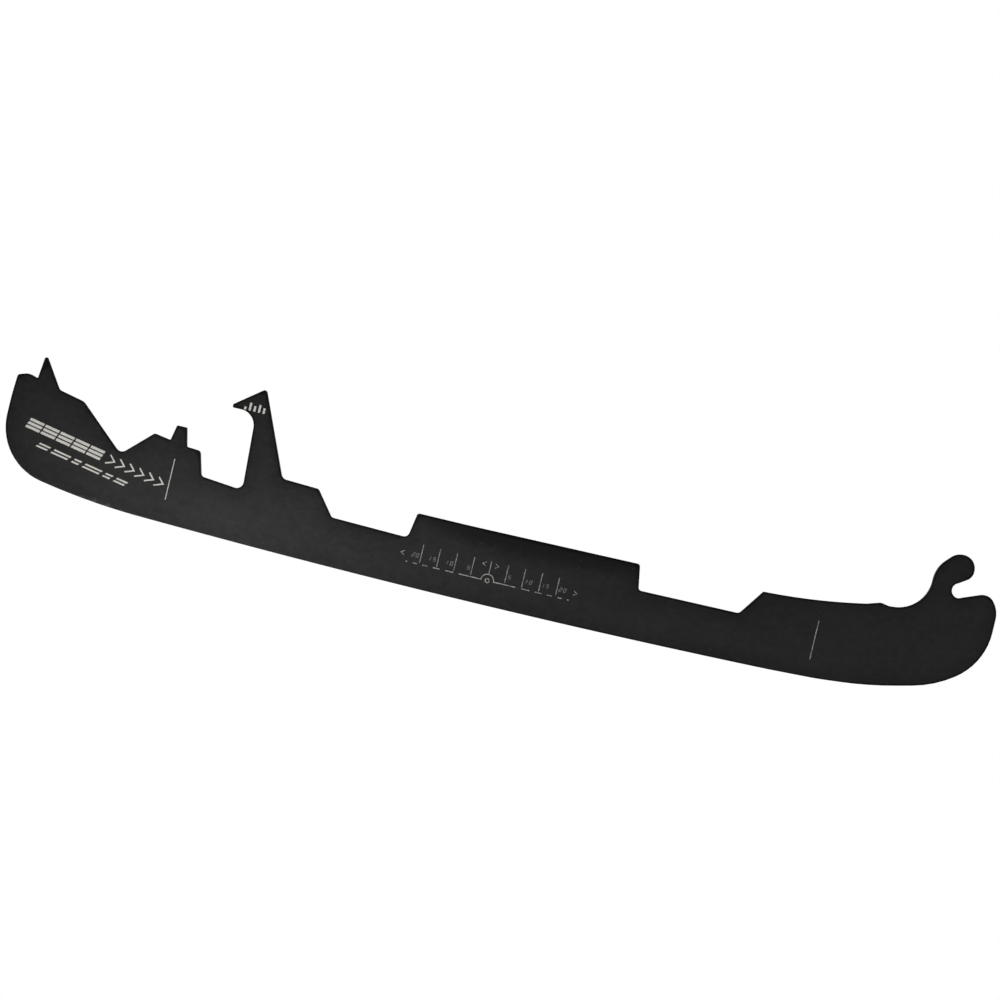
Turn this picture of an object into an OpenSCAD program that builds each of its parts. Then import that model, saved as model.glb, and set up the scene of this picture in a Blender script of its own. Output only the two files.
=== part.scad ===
// Replacement steel runner for an ice skate with a quick-release holder.
// +X points to the toe, +Z up from the ice, and the marked face looks along -Y.
// The origin is the lowest point of the running edge, under the centre mark, at mid thickness.

/* [Runner] */
// Overall length, heel to toe
runner_length = 288.8; // [285:0.2:298]
// How far the centre mark lies ahead of the middle of the length
mark_ahead = 0.3; // [0:0.1:0.5]
// Thickness of the steel plate
plate_t = 3; // [2.8:0.1:4]
// Radius of the long rocker curve of the running edge
rocker_r = 2950; // [2800:50:3200]

/* [Running edge] */
// Radius of the hollow ground along the running edge
hollow_r = 12.7; // [9.5:0.1:25.4]
// Flat land left on each side of the hollow
hollow_land = 0.1; // [0.1:0.05:0.4]

/* [Fittings] */
// Diameter of the seat for the holder's front cross pin
pin_seat_d = 4.3; // [4:0.1:4.5]
// Height of the pin seat's centre above the ice
pin_seat_h = 35.8; // [35.6:0.05:36]
// Distance of the latch hook's neck from the centre mark
hook_at = 74.2; // [72:0.1:76]
// Height of the latch hook's crown before it is rounded
hook_h = 45.7; // [44:0.1:47]
// Distance of the holder's locating tab from the centre mark
tab_at = 95.15; // [94:0.05:96]

/* [Marks] */
// Spacing of the lines of the centre scale
tick_pitch = 5; // [4.6:0.1:5.2]
// Distance of each index line from the centre mark
index_at = 95; // [94:0.5:96]
// Depth that the marks are let into the face
mark_depth = 0.05; // [0.02:0.01:0.1]

/* [Hidden] */

// Smoothness of the rounded corners
arc_step = 6;
arc_chord = 4;

// ---- Outline: every corner is [x, z, rounding radius] ----

toe_x = runner_length / 2 - mark_ahead;
heel_x = toe_x - runner_length;

// Heel: flat top with a low crown, spike, sloping shoulder, V notch
heel_top = from_station(heel_x, [
    [0, 27, 60], [0.35, 33.2, 0.9], [3.4, 34.25, 3.5], [6.15, 33.4, 0.3],
    [6.95, 40.75, 0.5], [12.95, 31.65, 1.5], [20.5, 30, 3], [34.1, 17.85, 2.1]]);

// Peak beside the notch, locating tab, step down to the latch gap
tab = from_station(-tab_at, [
    [-7.15, 25.9, 0.8], [-2.35, 25.1, 0.4], [-1.45, 29.65, 0.5],
    [1.45, 29.65, 0.4], [2.7, 24.3, 0.4], [6.75, 24.05, 1.2]]);

// Latch gap, neck, beak and crown of the hook, shelf behind it
hook = from_station(-hook_at, [
    [-12.3, 17.05, 1.1], [0, 15.9, 2], [-1.3, 38.4, 4.6], [-8.2, 38.3, 0.4],
    [-8.2, 39.3, 0.5], [0.1, hook_h, 0.8], [10.4, 21.8, 1.8], [21.2, 21.35, 1.2]]);

// Low ledge, middle step, low ledge, ramp up to the toe
middle = [
    [-47.5, 14.3, 1.2], [-25.05, 13.8, 1.6], [-23.8, 21.25, 0.8], [-8, 21.25, 800],
    [41.5, 21.9, 0.9], [42.8, 14.5, 1], [72.35, 14.85, 1.5], [77.7, 22.5, 0.5]];

// Toe: slow rise, small bump, hollow sweep up to the round horn
horn = from_station(toe_x, [
    [-51.8, 23.15, 180], [-36.8, 26.05, 5], [-32.9, 27.3, 1.8], [-30.6, 26.85, 4],
    [-20.05, 27.6, 9.8], [-20.05, 40.8, 8.6], [-15, 46.1, 4.4], [-9.1, 46.1, 3.9]]);

// Mouth of the pin seat: two straight jaws that end just inside the seat's circle
seat_r = pin_seat_d / 2;
seat = [toe_x - 12, pin_seat_h];
jaw_snap = 0.05;
upper_tip_x = toe_x - 9.1;
lower_tip_x = toe_x - 3.5;
upper_jaw_angle = 33.7;
lower_jaw_angle = 21.8;
upper_jaw = seat + polar(seat_r - jaw_snap, upper_jaw_angle + 90);
lower_jaw = seat + polar(seat_r - jaw_snap, lower_jaw_angle - 90);
jaws = [
    concat(along(upper_jaw, upper_jaw_angle, upper_tip_x), 3.2),
    concat(upper_jaw, 0), concat(lower_jaw, 0),
    concat(along(lower_jaw, lower_jaw_angle, lower_tip_x), 3.4)];

// Nose, toe curve, rocker and heel curve, back towards the heel
toe_curve = from_station(toe_x, [
    [0, 32.95, 7.2], [0, 17.2, 18.2], [-12.6, 7.75, 31], [-31.1, 3.25, 110], [-46.1, 1.8, 110]]);
rocker_toe_x = 84;
rocker_heel_x = -98;
rocker_pitch = 2;
rocker = [for (x = [rocker_toe_x : -rocker_pitch : rocker_heel_x]) [x, rocker_z(x), 0]];
heel_curve = from_station(heel_x, [[30.2, 2, 200], [0.05, 7.45, 16.8]]);

outline = concat(heel_top, tab, hook, middle, horn, jaws, toe_curve, rocker, heel_curve);

// ---- Marks, in millimetres on the face ----

base_line = 0.29;
tick_line = 0.22;
dome_step = 15;
scale_z = 7.1;
scale_lines = 4;
tick_foot = 7.6;
tick_top = 12.8;
centre_tick_foot = 9.15;
ring_r = 0.7;
dome_r = 1.85;
solid_half = 8.3;
dash_gap = 1.6;
dash_lengths = [2.5, 2, 1.5, 1.2, 0.5];
pointer_at = 25.4;
pointer_z = 9.4;
pointer_half = [0.5, 0.62];
guide_at = 1.85;
guide_z = 11.7;

digit_h = 1.25;
digit_w = 0.8;
digit_gap = 0.4;
digit_line = 0.19;
digit_slant = 0.2;
digit_z = 8.85;
digit_clear = 0.65;

index_line = 0.26;
heel_index = [8.1, 20.1];
toe_index = [6.7, 18.1];

stripe_tilt = -11;
stripe_slant = 0.19;
bold_start = [-138.8, 19.1];
bold_count = 5;
bold_pitch = 4.75;
bold_w = 4.3;
bold_rows = 3;
bold_row_h = 0.78;
bold_row_pitch = 1.13;
chevron_offset = 25.1;
chevron_count = 6;
chevron_pitch = 3.05;
chevron_w = 2.1;
chevron_h = 2.8;
chevron_line = 0.42;
dash_row_start = [-134.6, 14.4];
dash_row = [[0, 3.4], [4.6, 5.2], [11, 2.2], [14.4, 5.2], [20.8, 2.2], [24.2, 3.4]];
dash_row_h = 0.5;
dash_row_lift = 0.95;
dash_row_slant = 0.6;

size_at = [-79.1, 38.55];
size_heights = [0.9, 2.3, 1.6, 2.3, 1.6];
size_pitch = 1.35;
size_w = 0.62;

// ---- Cutting ----

// How far a cutter reaches past the face that it cuts
overcut = 1;
// How far the wheel's path runs along the edge, each side of the centre mark
hollow_reach = 116;
round_sides = 96;
wheel_sides = 240;
path_sides = 7200;

// ---- Geometry helpers ----

function polar(r, a) = r * [cos(a), sin(a)];
function unit(v) = v / norm(v);
function from_station(x, corners) = [for (c = corners) [x + c[0], c[1], c[2]]];
function along(p, a, x) = [x, p[1] + tan(a) * (x - p[0])];
function rocker_z(x) = rocker_r - sqrt(rocker_r * rocker_r - x * x);
function flat2(c) = [c[0], c[1]];
function total(list, n) = n <= 0 ? 0 : list[n - 1] + total(list, n - 1);

// One corner c between its neighbours a and b, as the points of its rounding arc
function corner(a, c, b) =
    c[2] == 0 ? [flat2(c)] :
    let (
        p = flat2(c),
        u = unit(flat2(a) - p),
        v = unit(flat2(b) - p),
        half = acos(u * v) / 2,
        centre = p + unit(u + v) * c[2] / sin(half),
        first = p + u * c[2] / tan(half) - centre,
        last = p + v * c[2] / tan(half) - centre,
        a0 = atan2(first[1], first[0]),
        turn = (atan2(last[1], last[0]) - a0 + 540) % 360 - 180,
        chords = abs(turn) * PI / 180 * c[2] / arc_chord,
        steps = max(2, ceil(abs(turn) / arc_step), ceil(chords)))
    [for (i = [0 : steps]) centre + polar(c[2], a0 + turn * i / steps)];

function rounded(corners) =
    let (n = len(corners))
    [for (i = [0 : n - 1]) each corner(corners[(i + n - 1) % n], corners[i], corners[(i + 1) % n])];

// A line of width w along a path, with mitred bends
function side(path, i) =
    let (
        n = len(path),
        before = unit(path[max(i, 1)] - path[max(i, 1) - 1]),
        after = unit(path[min(i + 1, n - 1)] - path[min(i + 1, n - 1) - 1]),
        na = [-before[1], before[0]],
        nb = [-after[1], after[0]])
    (na + nb) / (1 + na * nb);

function band(path, w) =
    let (n = len(path))
    concat(
        [for (i = [0 : n - 1]) path[i] + side(path, i) * w / 2],
        [for (i = [n - 1 : -1 : 0]) path[i] - side(path, i) * w / 2]);

function lean(path, k) = [for (p = path) [p[0] + k * p[1], p[1]]];

// ---- Flat shapes of the marks ----

module bar(x0, x1, z0, z1) {
    polygon([[x0, z0], [x1, z0], [x1, z1], [x0, z1]]);
}

module slanted_bar(x0, x1, z0, z1, k) {
    polygon(lean([[x0, z0], [x1, z0], [x1, z1], [x0, z1]], k));
}

module upright(x, z0, z1, w) {
    bar(x - w / 2, x + w / 2, z0, z1);
}

// Ring, domed base line, ticks and fading dashes
module scale_shape() {
    dome = [for (a = [180 : -dome_step : 0]) [0, scale_z] + polar(dome_r, a)];
    base = concat([[-solid_half, scale_z]], dome, [[solid_half, scale_z]]);
    polygon(band(base, base_line));
    translate([0, scale_z])
        difference() {
            circle(r = ring_r, $fn = round_sides);
            circle(r = ring_r - base_line, $fn = round_sides);
        }
    for (i = [-scale_lines : scale_lines])
        upright(i * tick_pitch, i == 0 ? centre_tick_foot : tick_foot, tick_top, tick_line);
    for (s = [-1, 1], i = [0 : len(dash_lengths) - 1]) {
        start = solid_half + dash_gap * (i + 1) + total(dash_lengths, i);
        finish = start + dash_lengths[i];
        bar(min(s * start, s * finish), max(s * start, s * finish),
            scale_z - base_line / 2, scale_z + base_line / 2);
    }
    for (s = [-1, 1]) {
        pointer(s * pointer_at, pointer_z, s);
        pointer(s * guide_at, guide_z, s);
    }
}

// Small open arrowhead that points along s
module pointer(x, z, s) {
    w = pointer_half[0] * s;
    h = pointer_half[1];
    translate([x, z])
        polygon(band([[-w, h], [w, 0], [-w, -h]], digit_line));
}

// Stroke digits, on a box of one by two
function digit_path(d) =
    d == 1 ? [[0.5, 0], [0.5, 2]] :
    d == 2 ? [[0, 2], [1, 2], [1, 1], [0, 1], [0, 0], [1, 0]] :
    [[1, 2], [0, 2], [0, 1], [1, 1], [1, 0], [0, 0]];

module digit(d) {
    if (d == 0)
        difference() {
            slanted_bar(0, digit_w, 0, digit_h, digit_slant);
            slanted_bar(digit_line, digit_w - digit_line, digit_line, digit_h - digit_line, digit_slant);
        }
    else {
        inner_w = digit_w - digit_line;
        inner_h = digit_h - digit_line;
        path = [for (p = digit_path(d)) [p[0] * inner_w, p[1] * inner_h / 2] + [1, 1] * digit_line / 2];
        polygon(band(lean(path, digit_slant), digit_line));
    }
}

module number(digits, x, s) {
    n = len(digits);
    w = n * digit_w + (n - 1) * digit_gap;
    left = s > 0 ? x + digit_clear : x - digit_clear - w;
    for (i = [0 : n - 1])
        translate([left + i * (digit_w + digit_gap) - digit_slant * digit_h / 2, digit_z])
            digit(digits[i]);
}

module numbers_shape() {
    labels = [[5], [1, 0], [1, 5], [2, 0]];
    for (s = [-1, 1], i = [0 : len(labels) - 1])
        number(labels[i], s * (i + 1) * tick_pitch, s);
}

module index_shape() {
    upright(-index_at, heel_index[0], heel_index[1], index_line);
    upright(index_at, toe_index[0], toe_index[1], index_line);
}

module chevron() {
    path = [[0, 0], [chevron_w, chevron_h / 2], [0, chevron_h]];
    polygon(band(lean(path, stripe_slant), chevron_line));
}

// Heavy stripes that turn into thin chevrons, over a row of dashes
module stripes_shape() {
    translate(bold_start)
        rotate(stripe_tilt) {
            for (i = [0 : bold_count - 1], k = [0 : bold_rows - 1])
                slanted_bar(i * bold_pitch, i * bold_pitch + bold_w,
                    k * bold_row_pitch, k * bold_row_pitch + bold_row_h, stripe_slant);
            for (i = [0 : chevron_count - 1])
                translate([chevron_offset + i * chevron_pitch, 0])
                    chevron();
        }
    translate(dash_row_start)
        rotate(stripe_tilt)
            for (d = dash_row, k = [0, 1])
                slanted_bar(d[0], d[0] + d[1],
                    k * dash_row_lift, k * dash_row_lift + dash_row_h, dash_row_slant);
}

module size_shape() {
    translate(size_at)
        for (i = [0 : len(size_heights) - 1])
            slanted_bar(i * size_pitch, i * size_pitch + size_w, 0, size_heights[i], 0);
}

// ---- Solids ----

// A flat shape let into the marked face; over reaches out past the face, for cutting
module on_face(over) {
    translate([0, mark_depth - plate_t / 2, 0])
        rotate([90, 0, 0])
            linear_extrude(mark_depth + over)
                children();
}

module all_marks(over) {
    on_face(over) scale_shape();
    on_face(over) numbers_shape();
    on_face(over) index_shape();
    on_face(over) stripes_shape();
    on_face(over) size_shape();
}

// Ring-shaped cutter whose outer crest grinds the hollow along the rocker
module hollow_cutter() {
    half_w = plate_t / 2 - hollow_land;
    depth = hollow_r - sqrt(hollow_r * hollow_r - half_w * half_w);
    sweep = 2 * asin(hollow_reach / rocker_r);
    translate([0, 0, rocker_r])
        rotate([90, 0, 0])
            rotate([0, 0, -90 - sweep / 2])
                rotate_extrude(angle = sweep, $fn = path_sides)
                    translate([rocker_r + hollow_r - depth, 0])
                        circle(r = hollow_r, $fn = wheel_sides);
}

module runner() {
    color("#26262a")
        difference() {
            translate([0, plate_t / 2, 0])
                rotate([90, 0, 0])
                    linear_extrude(plate_t)
                        polygon(rounded(outline));
            translate([seat[0], 0, seat[1]])
                rotate([90, 0, 0])
                    cylinder(r = seat_r, h = plate_t + 2 * overcut, center = true, $fn = round_sides);
            hollow_cutter();
            all_marks(overcut);
        }
}

module centre_scale() {
    color("silver") on_face(0) scale_shape();
}

module scale_numbers() {
    color("silver") on_face(0) numbers_shape();
}

module index_lines() {
    color("gainsboro") on_face(0) index_shape();
}

module heel_stripes() {
    color("gainsboro") on_face(0) stripes_shape();
}

module size_bars() {
    color("gainsboro") on_face(0) size_shape();
}

runner();
centre_scale();
scale_numbers();
index_lines();
heel_stripes();
size_bars();
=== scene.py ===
# %% [markdown]
# A steel runner for an ice skate is one flat plate, 3 mm thick, cut to an outline full of small fittings:
# a round pin seat at the toe, a tall latch hook, a locating tab and a stepped back.
# The plate is satin black all over, and its marks are burnt through the black with a laser.
# The fitted model comes from the packed frame. This script gives it its looks, in metres, in the same frame:
# +X is the toe, +Z is up from the ice, and the marked face looks along -Y.
# Lengths are written in millimetres times MM, and HAIR is the distance within which two places count as one.

# %% Load the packed frame
import math

import bmesh
import bpy
from mathutils import Matrix, Vector
from mathutils.kdtree import KDTree


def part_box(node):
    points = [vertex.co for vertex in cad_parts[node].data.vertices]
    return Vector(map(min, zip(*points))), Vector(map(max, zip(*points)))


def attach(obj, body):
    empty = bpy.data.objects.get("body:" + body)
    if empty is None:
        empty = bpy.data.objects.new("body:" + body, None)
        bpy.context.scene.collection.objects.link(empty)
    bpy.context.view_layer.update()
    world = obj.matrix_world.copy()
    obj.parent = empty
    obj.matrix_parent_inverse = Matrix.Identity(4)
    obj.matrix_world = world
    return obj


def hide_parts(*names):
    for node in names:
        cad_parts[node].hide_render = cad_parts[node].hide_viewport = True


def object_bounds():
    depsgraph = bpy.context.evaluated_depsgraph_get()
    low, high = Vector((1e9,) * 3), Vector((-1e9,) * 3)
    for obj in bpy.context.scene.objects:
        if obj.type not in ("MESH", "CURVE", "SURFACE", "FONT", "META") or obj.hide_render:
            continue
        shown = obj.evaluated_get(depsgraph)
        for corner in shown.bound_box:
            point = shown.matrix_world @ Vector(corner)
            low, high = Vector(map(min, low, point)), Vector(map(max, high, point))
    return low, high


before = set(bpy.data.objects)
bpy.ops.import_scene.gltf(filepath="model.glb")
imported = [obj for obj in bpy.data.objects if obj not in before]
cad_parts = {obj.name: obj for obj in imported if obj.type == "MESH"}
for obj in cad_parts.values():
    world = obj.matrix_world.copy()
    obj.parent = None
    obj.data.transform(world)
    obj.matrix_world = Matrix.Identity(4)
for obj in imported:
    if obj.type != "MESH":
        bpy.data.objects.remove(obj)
cad_low, cad_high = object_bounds()
MM = 0.001
HAIR = 0.001 * MM
print("nodes:", sorted(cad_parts), "box in mm:", [round(v / MM, 2) for v in cad_high - cad_low])

# %% [markdown]
# The camera comes first, because it decides what has to look right.
# The runner is seen square on, so a long lens keeps both of its ends at one size.
# The camera is rolled, which tips the toe up to the right, and it is placed from the width that it should span.

# %% Camera
roll = math.radians(13.5)
span = 286.1 * MM
lens_mm = 200
sensor_mm = 36
distance = span * lens_mm / sensor_mm
aim_back = 1.5 * MM
aim_up = 7.34 * MM
middle = (cad_low + cad_high) / 2
aim = Vector((middle.x - aim_back, cad_low.y, middle.z + aim_up))

camera_data = bpy.data.cameras.new("camera")
camera_data.lens = lens_mm
camera_data.sensor_width = sensor_mm
camera = bpy.data.objects.new("camera", camera_data)
facing = Matrix.Rotation(math.radians(90), 4, "X") @ Matrix.Rotation(roll, 4, "Z")
camera.matrix_world = Matrix.Translation(aim - Vector((0, distance, 0))) @ facing
bpy.context.scene.collection.objects.link(camera)
bpy.context.scene.camera = camera
print("camera distance in mm:", round(distance / MM), "roll in degrees:", round(math.degrees(roll), 1))

# %% [markdown]
# Shader maths is easier to read as arithmetic than as a list of links.
# This small class wraps the output of a node. Adding or multiplying two of them adds the Math node
# that does it, and every other node comes from one method, which sets the node up before it fills its sockets.

# %% A wire between nodes
class Wire:
    """The output of a node in a material. Python's operators on it add Math nodes."""

    def __init__(self, tree, socket):
        self.tree = tree
        self.socket = socket

    @classmethod
    def node(cls, tree, kind, settings=None, inputs=None, output=0):
        """Adds a node, and returns the wire from one of its outputs, if it has any."""
        made = tree.nodes.new(kind)
        for name, value in (settings or {}).items():
            setattr(made, name, value)
        for name, value in (inputs or {}).items():
            if isinstance(value, Wire):
                tree.links.new(made.inputs[name], value.socket)
            else:
                made.inputs[name].default_value = value
        return cls(tree, made.outputs[output]) if made.outputs else None

    def math(self, operation, *values):
        """A Math node on these values, each of them a wire or a number."""
        return self.node(self.tree, "ShaderNodeMath", {"operation": operation}, dict(enumerate(values)))

    def __add__(self, other):
        return self.math("ADD", self, other)

    def __radd__(self, other):
        return self.math("ADD", other, self)

    def __sub__(self, other):
        return self.math("SUBTRACT", self, other)

    def __rsub__(self, other):
        return self.math("SUBTRACT", other, self)

    def __mul__(self, other):
        return self.math("MULTIPLY", self, other)

    def __rmul__(self, other):
        return self.math("MULTIPLY", other, self)

    def between(self, low, high):
        """0 below low, 1 above high, and a smooth rise in between."""
        ends = {"From Min": low, "From Max": high, "Value": self}
        return self.node(self.tree, "ShaderNodeMapRange", {"interpolation_type": "SMOOTHSTEP"}, ends)

    def blend(self, colour_at_0, colour_at_1):
        """A colour from one to the other as this goes from 0 to 1."""
        sides = {0: self, 6: colour_at_0, 7: colour_at_1}
        return self.node(self.tree, "ShaderNodeMix", {"data_type": "RGBA"}, sides, 2)


print("operators ready:", [name for name in vars(Wire) if name.startswith("__r")])

# %% [markdown]
# Every finish here starts the same way: a material, the point on the piece in metres, and patterns
# read from it. Object coordinates are used because each piece's object sits at the origin, so a length
# in a pattern is a real one.
# A grain is noise that is stretched: its size along each axis is given in millimetres.

# %% Helpers for a finish
def start_finish(name):
    """A new material, its empty node tree, and the point being shaded, in metres."""
    material = bpy.data.materials.new(name)
    material.use_nodes = True
    tree = material.node_tree
    tree.nodes.clear()
    point = Wire.node(tree, "ShaderNodeTexCoord", output="Object")
    return material, tree, point


def grain(tree, point, size, detail=2, seed=0):
    """Noise from 0 to 1 whose blobs measure about size, three lengths in metres."""
    shift = Vector((seed, seed, seed))
    scale = Vector([1 / length for length in size])
    fitted = {"Vector": point, "Scale": scale, "Location": shift}
    placed = Wire.node(tree, "ShaderNodeMapping", None, fitted)
    settings = {"noise_dimensions": "3D"}
    return Wire.node(tree, "ShaderNodeTexNoise", settings, {"Vector": placed, "Scale": 1, "Detail": detail})


def along_axis(tree, point, axis):
    """One coordinate of a point: X, Y or Z."""
    return Wire.node(tree, "ShaderNodeSeparateXYZ", None, {"Vector": point}, axis)


def end_finish(material, tree, surface, height=None):
    """Closes a finish: surface holds the Principled sockets, and height, if any, is its bump in metres."""
    if height is not None:
        bump = Wire.node(tree, "ShaderNodeBump", None, {"Height": height, "Distance": 1, "Strength": 1})
        surface = {**surface, "Normal": bump}
    shader = Wire.node(tree, "ShaderNodeBsdfPrincipled", None, surface)
    Wire.node(tree, "ShaderNodeOutputMaterial", None, {"Surface": shader})
    return material


print("finish helpers ready, lengths in metres")

# %% [markdown]
# The plate of the real runner is cut from sheet, so its shape is one outline with a thickness.
# That outline is already on the fitted model's plain face. The face is copied, its triangles are dissolved into
# a single flat face, and everything else is deleted, which keeps every fitting exactly where it is.
# The fitted model stores loose triangles, so the copy's doubled corners are merged first.

# %% The plain face of the plate
runner_low, runner_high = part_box("runner")
plate = bmesh.new()
plate.from_mesh(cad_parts["runner"].data)
bmesh.ops.remove_doubles(plate, verts=plate.verts, dist=HAIR / 2)
off_face = [f for f in plate.faces if f.calc_center_median().y < runner_high.y - HAIR]
bmesh.ops.delete(plate, geom=off_face, context="FACES")
bmesh.ops.dissolve_faces(plate, faces=plate.faces[:])
print("plain face:", len(plate.faces), "face with", len(plate.verts), "corners")

# %% [markdown]
# Extruding that face across the thickness gives the plate back with clean walls, one four-sided face per step
# of the outline. The marked side stops a hundredth of a millimetre short of the laser marks,
# so that the marks lie on the surface and no two faces share one plane.
# From here on, how far a face looks along Y tells what it is: all the way for a flat side,
# and less than half for a wall.

# %% Thicken it
FLAT_SIDE = 0.999
HALF_WAY = 0.5
mark_rise = 0.01 * MM
across = Vector((0, runner_low.y + mark_rise - runner_high.y, 0))
grown = bmesh.ops.extrude_face_region(plate, geom=plate.faces[:])["geom"]
bmesh.ops.translate(plate, vec=across, verts=[v for v in grown if isinstance(v, bmesh.types.BMVert)])
bmesh.ops.recalc_face_normals(plate, faces=plate.faces[:])
walls = [f for f in plate.faces if abs(f.normal.y) < HALF_WAY]
print("walls:", len(walls), "thickness in mm:", round(abs(across.y) / MM, 2))

# %% [markdown]
# A grinding wheel runs along the edge of a skate and leaves a shallow hollow with a sharp edge on each side.
# The wheel's rim is round, so the hollow is part of a circle across the thickness.
# The running faces are sliced lengthways with bisect_plane, and each new point that lies outside
# the wheel's path is moved up to it, which lets the hollow fade out by itself where the ends curve up.

# %% Grind the hollow
rocker_radius = 2950 * MM
hollow_radius = 12.7 * MM
hollow_half = 1.4 * MM
slices = 14
facing_down = -0.9
highest = 3 * MM

running = [f for f in walls if f.normal.z < facing_down and f.calc_center_median().z < highest]
for i in range(slices + 1):
    y = hollow_half * (2 * i / slices - 1)
    geom = {*running, *(e for f in running for e in f.edges), *(v for f in running for v in f.verts)}
    cut = bmesh.ops.bisect_plane(
        plate, geom=list(geom), dist=HAIR / 10, plane_co=(0, y, 0), plane_no=(0, 1, 0))
    running = [f for f in cut["geom"] if isinstance(f, bmesh.types.BMFace)]

wheel_centre = rocker_radius + math.sqrt(hollow_radius**2 - hollow_half**2)
deepest = 0
for v in {v for f in running for v in f.verts}:
    if abs(v.co.y) < hollow_half:
        arm = Vector((v.co.x, v.co.z - rocker_radius))
        reach = wheel_centre - math.sqrt(hollow_radius**2 - v.co.y**2)
        if arm.length > reach:
            deepest = max(deepest, arm.length - reach)
            v.co.x, v.co.z = arm.x * reach / arm.length, rocker_radius + arm.y * reach / arm.length
print("hollow depth in mm:", round(deepest / MM, 3), "running faces:", len(running))

# %% [markdown]
# No cut edge on real steel is perfectly sharp, and the small round on it is what catches the light.
# The two outlines are bevelled by a fifth of a millimetre, like the edge break left by tumbling.
# An edge is on an outline if one of its faces is a side and the other a wall.
# The running edge is left out, because there the sharp edge is the point of the tool.
# The outline's points lie closer together than the bevel is wide, so the bevel's usual limit is switched off,
# and the points that it brings together in the tight corners are merged.

# %% Break the edges
edge_break = 0.2 * MM
ground = set(running)
rims = [
    e for e in plate.edges
    if sorted(round(abs(f.normal.y)) for f in e.link_faces) == [0, 1] and ground.isdisjoint(e.link_faces)]
bmesh.ops.bevel(
    plate, geom=rims, offset=edge_break, segments=3, profile=0.5, affect="EDGES",
    material=-1, clamp_overlap=False)
bmesh.ops.remove_doubles(plate, verts=plate.verts, dist=HAIR)
side_height = max(v.co.z for f in plate.faces if abs(f.normal.y) > FLAT_SIDE for v in f.verts)
print("bevelled", len(rims), "edges, break in mm:", round((runner_high.z - side_height) / MM, 3))

# %% [markdown]
# The tone of the black changes near the cut edges with painted shade: it darkens over the last few millimetres,
# and a thin line of painted shade follows the outline itself.
# A shader can't see how far a point is from an edge, so the mesh carries that as a number on its points.
# One huge flat face has no points inside, so the sides are sliced into a two-millimetre net first.
# The nearest outline point is then found with a search tree, which is far faster than trying them all.

# %% Distance from the cut edge
NET = 2 * MM
FADE = 5 * MM
flat = {f for f in plate.faces if abs(f.normal.y) > FLAT_SIDE}
net = [*flat, *{e for f in flat for e in f.edges}, *{v for f in flat for v in f.verts}]
for axis, low_end, high_end in ((0, runner_low.x, runner_high.x), (2, runner_low.z, runner_high.z)):
    for i in range(math.ceil(low_end / NET), math.ceil(high_end / NET)):
        place, turn = Vector((0, 0, 0)), Vector((0, 0, 0))
        place[axis], turn[axis] = i * NET, 1
        net = bmesh.ops.bisect_plane(plate, geom=net, dist=HAIR, plane_co=place, plane_no=turn)["geom"]

flat = {f for f in plate.faces if abs(f.normal.y) > FLAT_SIDE}
edge_points = [v for v in plate.verts if not flat.issuperset(v.link_faces)]
search = KDTree(len(edge_points))
for i, v in enumerate(edge_points):
    search.insert(v.co, i)
search.balance()
from_edge = plate.verts.layers.float.new("from_edge")
for v in plate.verts:
    away = search.find(v.co)[2]
    v[from_edge] = min(1, away / FADE)
print("net:", len(flat), "side faces, edge points:", len(edge_points))

# %% [markdown]
# The flat sides, the cut walls and the ground hollow each show a different grain, so each gets its own
# material. The bevel counts as side. Smooth shading with sharp corners marked by angle keeps curves round
# and tips crisp, and the Weighted Normal modifier lets the big flat sides decide the shading at their borders.

# %% The finished plate
SIDE, WALL, GROUND = range(3)
corner_angle = math.radians(35)
running = {f for f in running if f.is_valid}
for f in plate.faces:
    f.smooth = True
    f.material_index = GROUND if f in running else SIDE if abs(f.normal.y) > HALF_WAY else WALL
mesh = bpy.data.meshes.new("steel_plate")
plate.to_mesh(mesh)
plate.free()
mesh.set_sharp_from_angle(angle=corner_angle)
steel_plate = bpy.data.objects.new("steel_plate", mesh)
bpy.context.scene.collection.objects.link(steel_plate)
weighted = steel_plate.modifiers.new("weighted", "WEIGHTED_NORMAL")
weighted.keep_sharp = True
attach(steel_plate, "root")
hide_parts("runner")
print("steel_plate:", len(mesh.vertices), "points", len(mesh.polygons), "faces")

# %% [markdown]
# The black is a hard satin coating, a few thousandths of a millimetre thick, over steel that was ground flat.
# It isn't one tone all over, and painted shade is added to it. The raised step in the middle is painted a
# little darker as painted shade, and a thin darker line of painted shade follows the cut edges, except low down
# at the heel.
# Each of these places is a mask from 0 to 1, which the coating's recipe can then weigh.

# %% Where shade is painted on the black
STEP_CENTRE = Vector((12, 0, 23)) * MM
STEP_REACH = (48 * MM, 10 * MM)
STEP_CORE = 0.35
RIM_FULL, RIM_END = 0.1 * MM, 0.65 * MM
RIM_LOW, RIM_HIGH, RIM_SLOPE = -6 * MM, 4 * MM, 0.1


def soft_patch(tree, point, centre, reach):
    """1 at a place on the side, fading to 0 at reach, two lengths along and up."""
    scale = Vector((1 / reach[0], 0, 1 / reach[1]))
    away = Wire.node(tree, "ShaderNodeVectorMath", {"operation": "SUBTRACT"}, {0: point, 1: centre})
    away = Wire.node(tree, "ShaderNodeVectorMath", {"operation": "MULTIPLY"}, {0: away, 1: scale})
    length = Wire.node(tree, "ShaderNodeVectorMath", {"operation": "LENGTH"}, {0: away}, "Value")
    return 1 - length.between(STEP_CORE, 1)


def painted_rim_shade(tree, point, inside):
    """Painted shade: 1 along the cut edge, fading inwards, and fading out low down towards the heel."""
    height = along_axis(tree, point, "Z") + along_axis(tree, point, "X") * RIM_SLOPE
    return (1 - inside.between(RIM_FULL / FADE, RIM_END / FADE)) * height.between(RIM_LOW, RIM_HIGH)


print("darker step in mm:", [round(reach / MM) for reach in STEP_REACH], "rim in mm:", round(RIM_END / MM, 2))

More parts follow.
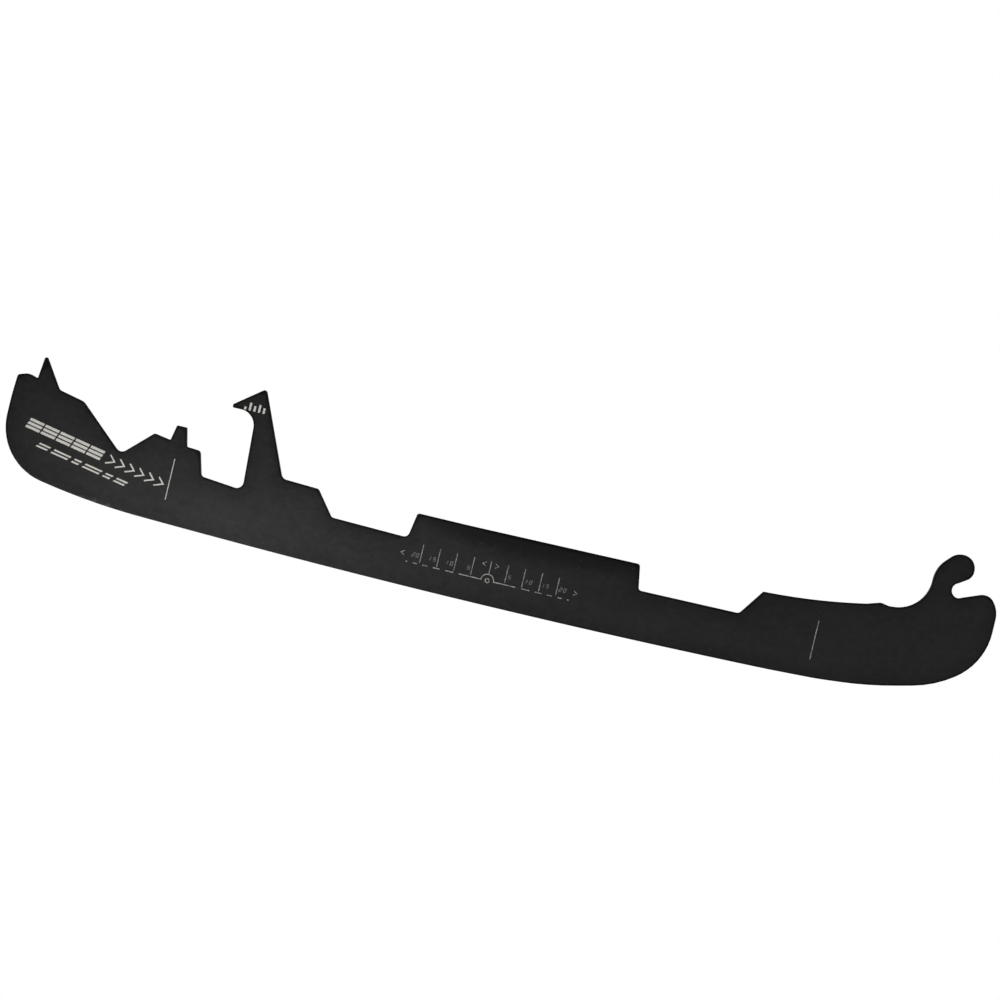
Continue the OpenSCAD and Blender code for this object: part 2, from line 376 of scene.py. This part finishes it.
# %% [markdown]
# Close up, the coating shows the faint lengthways grain of the grinding under it, a fine bead-blast texture,
# specks of dust and a slow drift in tone. Every pattern has a weight of its own, and their sum picks a tone
# between two near-blacks that stay very close, because the eye sees even one per cent.
# A grain averages one half, so half of the roughness weights is taken off again.
# The same recipe makes the sides, walls and hollow: only the direction and depth of the grinding differ.

# %% The black coating
COATING_DARK = (0.040, 0.040, 0.040, 1)
COATING_LIGHT = (0.082, 0.082, 0.081, 1)
# The black of the painted shade along the cut edges.
RIM_SHADE_BLACK = (0.012, 0.012, 0.012, 1)
DUST_LOW, DUST_HIGH = 0.66, 0.76
DRIFT_TONE, MOTTLE_TONE, SPECKLE_TONE, DUST_TONE = 0.3, 0.45, 0.3, 0.5
# Weights of the painted shade near the cut edges and on the middle step, then an offset.
EDGE_SHADE_TONE, STEP_SHADE_TONE, TONE_OFFSET = 0.22, 0.5, 0.12
DRIFT_ROUGH, STROKES_ROUGH, SPECKLE_ROUGH = 0.06, 0.08, 0.04
HALF_ROUGH = (DRIFT_ROUGH + STROKES_ROUGH + SPECKLE_ROUGH) / 2
SPECKLE_RELIEF = 0.0012 * MM


def black_coating(name, stroke, stroke_relief, roughness, rim_shade_strength=0):
    """Satin black with grinding strokes of a given size, and a rim darkened by painted shade as much as the
    last argument says.
    """
    material, tree, point = start_finish(name)
    drift = grain(tree, point, (30 * MM, 30 * MM, 14 * MM), detail=3)
    mottle = grain(tree, point, (2.2 * MM, 2.2 * MM, 1.6 * MM), detail=3, seed=2)
    speckle = grain(tree, point, (0.3 * MM, 0.3 * MM, 0.3 * MM), detail=2, seed=3)
    dust = grain(tree, point, (1.5 * MM, 1.5 * MM, 0.8 * MM), detail=1, seed=4).between(DUST_LOW, DUST_HIGH)
    strokes = grain(tree, point, stroke, detail=3, seed=7)
    inside = Wire.node(tree, "ShaderNodeAttribute", {"attribute_name": "from_edge"}, output="Fac")
    # A soft patch of painted shade over the middle step.
    step = soft_patch(tree, point, STEP_CENTRE, STEP_REACH)

    cloud = drift * DRIFT_TONE + mottle * MOTTLE_TONE + speckle * SPECKLE_TONE + dust * DUST_TONE
    # The tone is darkened near the cut edges and on the middle step as painted shade.
    tone = cloud + inside * EDGE_SHADE_TONE - step * STEP_SHADE_TONE - TONE_OFFSET
    black = tone.between(0, 1).blend(COATING_DARK, COATING_LIGHT)
    # Painted shade: a thin dark line along the cut edges, fading out low at the heel.
    if rim_shade_strength:
        black = (painted_rim_shade(tree, point, inside) * rim_shade_strength).blend(black, RIM_SHADE_BLACK)
    unevenness = drift * DRIFT_ROUGH + strokes * STROKES_ROUGH + speckle * SPECKLE_ROUGH
    surface = {
        "Base Color": black,
        "Roughness": unevenness + (roughness - HALF_ROUGH),
        "Metallic": 1.0,
    }
    return end_finish(material, tree, surface, strokes * stroke_relief + speckle * SPECKLE_RELIEF)


side_coating = black_coating(
    "satin_black_side", stroke=(14 * MM, 1 * MM, 0.09 * MM), stroke_relief=0.0012 * MM,
    roughness=0.40, rim_shade_strength=0.6)
wall_coating = black_coating(
    "satin_black_wall", stroke=(0.10 * MM, 6 * MM, 0.10 * MM), stroke_relief=0.004 * MM, roughness=0.44)
ground_coating = black_coating(
    "satin_black_ground", stroke=(9 * MM, 0.05 * MM, 9 * MM), stroke_relief=0.002 * MM, roughness=0.34)
for material in (side_coating, wall_coating, ground_coating):
    mesh.materials.append(material)
print("coatings:", [material.name for material in mesh.materials])

# %% [markdown]
# A laser burns the black away in close parallel passes and leaves bare, matt steel with a warm grey cast.
# Wide marks take many passes, so they come out pale and even, with a faint hatch.
# Hairlines and small figures get only one or two, so more black is left in them, and they look dimmer
# and uneven.
# The two long index lines fade along the runner: the one at the toe is dimmed by painted shade.
# The marks scatter light like chalk, so they are shaded as a matt surface and not as a metal.

# %% Laser marks
HATCH_PITCH = 0.16 * MM
HATCH_RELIEF = 0.002 * MM
HATCH_RISE = 2
PATCHES_BURN, FINE_BURN, HATCH_BURN = 0.5, 0.5, 0.12
BURN_EDGE = 0.25
BLACK_ROUGHNESS, BARE_ROUGHNESS = 0.5, 0.6
INDEX_AT = 95 * MM


def laser_mark(name, pale, dim, left_black, toe_shade_loss=0):
    """Bare steel with left_black of the coating still on it, dimmed by painted shade towards the toe by the
    last argument.
    """
    material, tree, point = start_finish(name)
    patches = grain(tree, point, (0.9 * MM, 0.9 * MM, 0.9 * MM), detail=3, seed=5)
    fine = grain(tree, point, (0.22 * MM, 0.22 * MM, 0.22 * MM), detail=2, seed=9)
    passes = along_axis(tree, point, "Z") * HATCH_RISE + along_axis(tree, point, "X")
    hatch = passes.math("SINE", passes * (2 * math.pi / HATCH_PITCH)) * 0.5 + 0.5
    # Painted shade: the mark darkens towards the toe.
    shade_towards_toe = along_axis(tree, point, "X").between(-INDEX_AT, INDEX_AT) * toe_shade_loss
    burn = patches * PATCHES_BURN + fine * FINE_BURN + hatch * HATCH_BURN - shade_towards_toe
    burnt = burn.between(left_black, left_black + BURN_EDGE)
    surface = {
        "Base Color": burnt.blend(dim, pale),
        "Roughness": burnt * (BARE_ROUGHNESS - BLACK_ROUGHNESS) + BLACK_ROUGHNESS,
        "Metallic": 0.0,
    }
    return end_finish(material, tree, surface, hatch * HATCH_RELIEF)


bold_mark = laser_mark(
    "laser_bold", pale=(1.0, 0.98, 0.91, 1), dim=(0.62, 0.60, 0.55, 1), left_black=0.28)
line_mark = laser_mark(
    "laser_line", pale=(0.92, 0.90, 0.86, 1), dim=(0.28, 0.28, 0.27, 1), left_black=0.32, toe_shade_loss=0.20)
scale_mark = laser_mark(
    "laser_scale", pale=(0.62, 0.61, 0.58, 1), dim=(0.10, 0.10, 0.097, 1), left_black=0.40)
digit_mark = laser_mark(
    "laser_digit", pale=(0.34, 0.34, 0.32, 1), dim=(0.10, 0.10, 0.097, 1), left_black=0.40)
MARKS = {
    "heel_stripes": (bold_mark, "bright_marks"),
    "size_bars": (bold_mark, "bright_marks"),
    "index_lines": (line_mark, "bright_marks"),
    "centre_scale": (scale_mark, "fine_marks"),
    "scale_numbers": (digit_mark, "fine_marks"),
}
for node, (material, slot) in MARKS.items():
    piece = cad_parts[node]
    piece.data.materials.clear()
    piece.data.materials.append(material)
    print(node, "gets", material.name)

# %% [markdown]
# The studio is a white sweep: a pale floor far enough below the runner to take no hard shadow,
# and a plain white surround. The surround shows at full white behind the runner but lights it only softly,
# as a white wall a few metres away would, so the black coating stays black.
# The floor fades out at its rim, so no edge of it shows against the surround from any side.

# %% Floor and surround
floor_drop = 300 * MM
floor_reach = 0.95
floor_solid = 0.25
floor_glow = 0.45
sweep = bmesh.new()
bmesh.ops.create_grid(sweep, x_segments=1, y_segments=1, size=floor_reach)
bmesh.ops.translate(sweep, vec=(0, 0, cad_low.z - floor_drop), verts=sweep.verts[:])
floor_mesh = bpy.data.meshes.new("floor")
sweep.to_mesh(floor_mesh)
sweep.free()
floor = bpy.data.objects.new("floor", floor_mesh)
bpy.context.scene.collection.objects.link(floor)

floor_paint, floor_tree, point = start_finish("floor_paint")
from_middle = Wire.node(floor_tree, "ShaderNodeVectorMath", {"operation": "LENGTH"}, {0: point}, "Value")
paint = {
    "Base Color": (0.8, 0.8, 0.8, 1),
    "Roughness": 0.9,
    "Alpha": 1 - from_middle.between(floor_solid, floor_reach),
    "Emission Color": (1, 1, 1, 1),
    "Emission Strength": floor_glow,
}
floor_mesh.materials.append(end_finish(floor_paint, floor_tree, paint))

world = bpy.data.worlds.new("surround")
bpy.context.scene.world = world
world.use_nodes = True
world_tree = world.node_tree
world_tree.nodes.clear()
surround_light = 0.04
seen = Wire.node(world_tree, "ShaderNodeLightPath", output="Is Camera Ray")
brightness = seen * (1 - surround_light) + surround_light
sky = Wire.node(world_tree, "ShaderNodeBackground", None, {"Color": (1, 1, 1, 1), "Strength": brightness})
Wire.node(world_tree, "ShaderNodeOutputWorld", None, {"Surface": sky})
bpy.context.scene.view_settings.view_transform = "Standard"
print("floor", floor_reach * 2, "m wide,", floor_drop / MM, "mm below the runner")

# %% [markdown]
# Soft boxes light the plate. A flat satin side shows a light only near its mirror direction, so each box is the
# mirror light of one way of looking at the runner.
# The low card stands below the lens, a little towards the heel: it lifts the lower edge and fades
# up the plate and to both ends. The toe card adds a weak glow at the far end.
# The front and back cards do the same for the marked and the plain side when they are seen from a corner,
# and the top box lights the walls that look up.
# Four more stand at the corners of the room and part the cut walls from the sides in tone.
# The front pair is weaker, because it also reaches the marked side.

# %% Soft boxes
def soft_box(name, place, size, power):
    """A round soft light that faces the runner. The place is in metres from its middle, the power in watts."""
    data = bpy.data.lights.new(name, "AREA")
    data.shape = "DISK"
    data.size = size
    data.energy = power
    box = bpy.data.objects.new(name, data)
    box.location = middle + Vector(place)
    box.rotation_euler = Vector(place).to_track_quat("Z", "Y").to_euler()
    bpy.context.scene.collection.objects.link(box)


SOFT_BOXES = {
    "low_card": ((-0.09, -0.25, -0.12), 0.06, 0.15),
    "back_card": ((0.6, 0.6, -0.15), 0.3, 0.6),
    "toe_card": ((0.2, -0.8, -0.1), 0.2, 0.08),
    "front_card": ((-0.7, -0.6, -0.25), 0.3, 0.16),
    "top_box": ((0.1, 0.5, 1.0), 0.5, 3),
}
for name, (place, size, power) in SOFT_BOXES.items():
    soft_box(name, place, size, power)

CORNER_OUT, CORNER_UP, CORNER_SIZE = 0.9, 0.3, 0.6
FRONT_POWER, BACK_POWER = 2, 4
for i, (x, y) in enumerate([(-1, -1), (1, -1), (1, 1), (-1, 1)]):
    corner = (CORNER_OUT * x, CORNER_OUT * y, CORNER_UP)
    soft_box("corner_box_%d" % i, corner, CORNER_SIZE, FRONT_POWER if y < 0 else BACK_POWER)

# %% [markdown]
